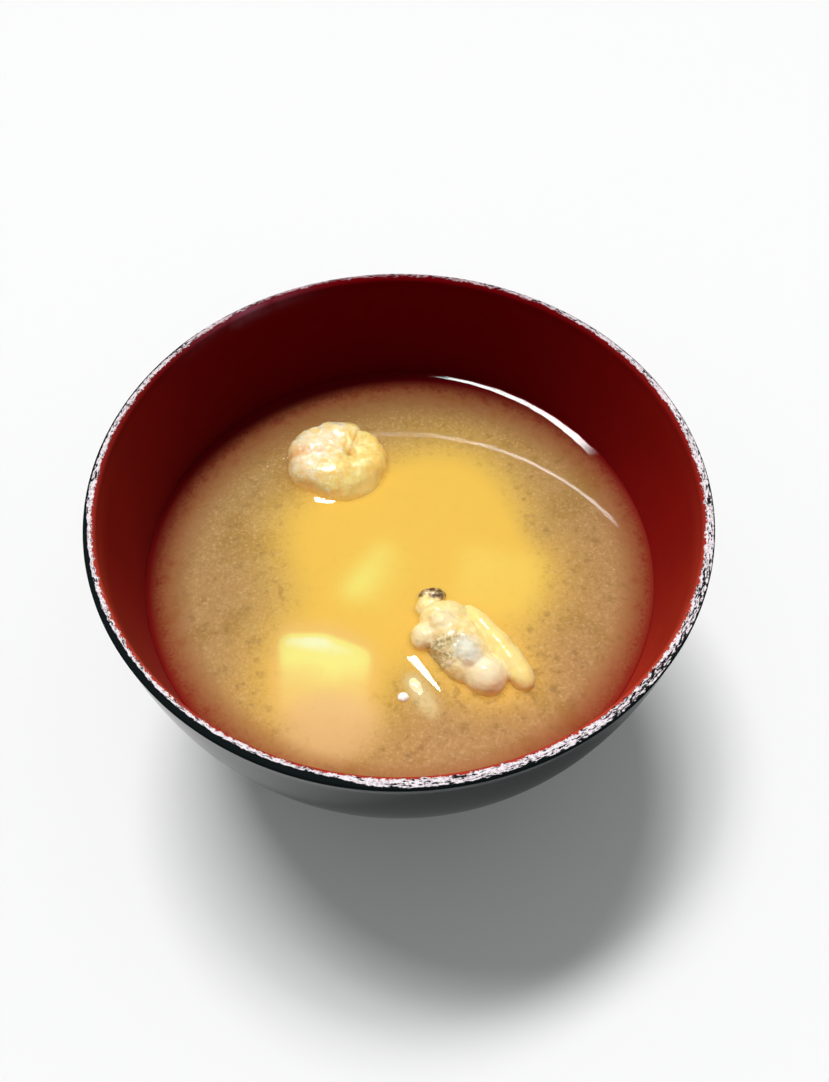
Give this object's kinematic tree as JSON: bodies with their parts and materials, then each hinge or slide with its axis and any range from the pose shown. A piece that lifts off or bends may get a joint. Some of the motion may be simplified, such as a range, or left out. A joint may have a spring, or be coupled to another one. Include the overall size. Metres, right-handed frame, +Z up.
{
  "type": "bowl of soup",
  "caption": "Miso soup in a round footed lacquered bowl, with a curled shrimp, a shelled clam and tofu at its surface.",
  "frame": {"origin": "middle of the foot ring's underside, on the surface the bowl stands on", "axes": "+Z up out of the bowl's mouth, -Y towards the person eating, +X to their right"},
  "size_m": [0.115, 0.115, 0.068],
  "materials": {
    "lacquered_plastic": "gloss red lacquer inside, satin black outside, worn through at the rim",
    "miso_broth": "wet, cloudy",
    "shrimp_flesh": "wet, moist",
    "clam_flesh": "wet, moist",
    "clam_mantle": "wet, moist",
    "tofu_curd": "smooth, moist"
  },
  "bodies": {
    "root": {"bowl": "lacquered_plastic", "soup": "miso_broth", "shrimp": "shrimp_flesh", "clam": "clam_flesh", "clam_strip": "clam_mantle", "tofu": "tofu_curd"}
  },
  "joints": []
}
